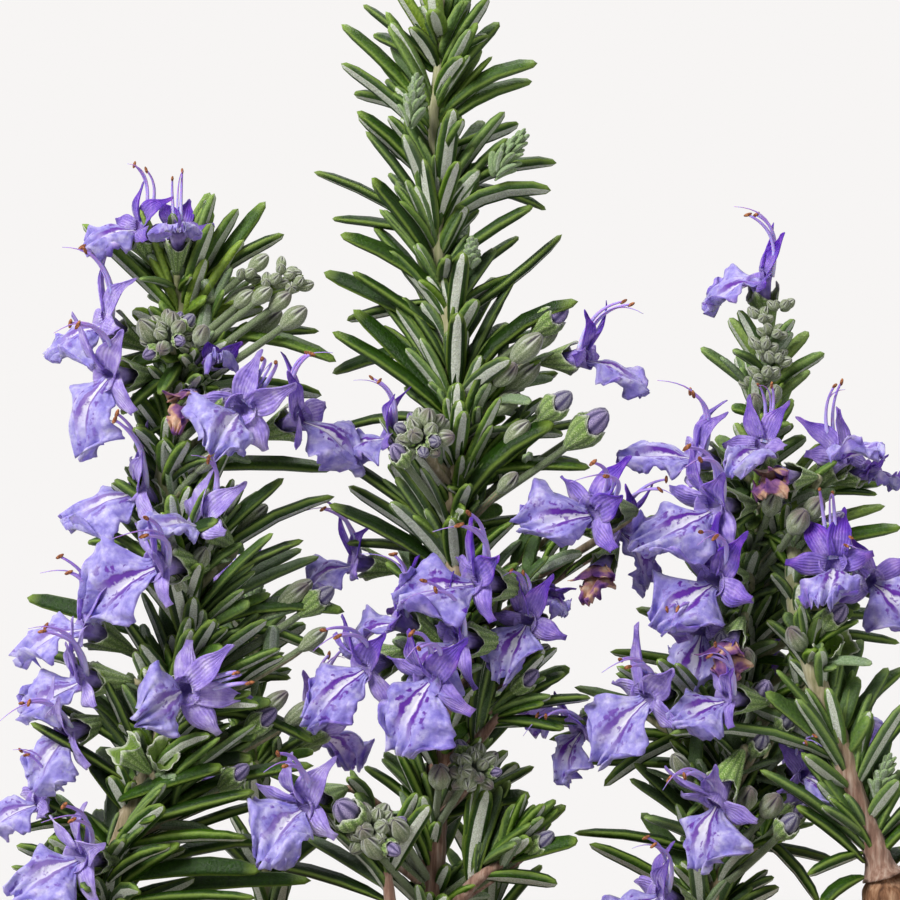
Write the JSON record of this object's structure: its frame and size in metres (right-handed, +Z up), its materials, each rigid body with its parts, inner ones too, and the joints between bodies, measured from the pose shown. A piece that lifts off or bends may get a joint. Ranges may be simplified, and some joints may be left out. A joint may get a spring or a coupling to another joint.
{
  "type": "potted rosemary plant",
  "caption": "Flowering rosemary in a tapered terracotta pot: woody base, upright leafy shoots, lipped violet flowers, felted buds and soil.",
  "frame": {"origin": "centre of the pot's flat underside", "axes": "+Z up along the axis of the pot and the plant, +X to the right and -Y towards the viewer in the picture"},
  "size_m": [0.1434, 0.131, 0.309],
  "materials": {
    "terracotta": "matte",
    "soil": "matte",
    "bark": "matte",
    "leaf": "satin",
    "petal": "matte",
    "bud": "matte"
  },
  "bodies": {
    "root": {"buds_centre": "bud", "buds_centre_low": "bud", "buds_front": "bud", "buds_left": "bud", "flower_back_left_a": "petal", "flower_back_left_b": "petal", "flower_back_right_a": "petal", "flower_back_right_b": "petal", "flower_centre_foot": "petal", "flower_centre_low_a": "petal", "flower_centre_low_b": "petal", "flower_centre_low_c": "petal", "flower_centre_low_d": "petal", "flower_centre_mid_a": "petal", "flower_centre_mid_b": "petal", "flower_centre_side_a": "petal", "flower_centre_side_b": "petal", "flower_centre_side_c": "petal", "flower_centre_upper": "petal", "flower_left_foot_a": "petal", "flower_left_foot_b": "petal", "flower_left_low_a": "petal", "flower_left_low_b": "petal", "flower_left_low_c": "petal", "flower_left_mid_a": "petal", "flower_left_mid_b": "petal", "flower_left_mid_c": "petal", "flower_left_side_a": "petal", "flower_left_side_b": "petal", "flower_left_top_a": "petal", "flower_left_top_b": "petal", "flower_left_upper_a": "petal", "flower_left_upper_b": "petal", "flower_right_low_a": "petal", "flower_right_low_b": "petal", "flower_right_low_c": "petal", "flower_right_low_d": "petal", "flower_right_mid_a": "petal", "flower_right_mid_b": "petal", "flower_right_mid_c": "petal", "flower_right_mid_d": "petal", "flower_right_top": "petal", "flower_right_upper_a": "petal", "flower_right_upper_b": "petal", "flower_right_upper_c": "petal", "flower_right_upper_d": "petal", "pot": "terracotta", "shoot_back_left": "leaf", "shoot_back_mid": "leaf", "shoot_back_right": "leaf", "shoot_centre": "leaf", "shoot_cut": "leaf", "shoot_front_left": "leaf", "shoot_front_right": "leaf", "shoot_left": "leaf", "shoot_low_left": "leaf", "shoot_low_right": "leaf", "shoot_right": "leaf", "soil": "soil", "woody_base": "bark"}
  },
  "joints": []
}
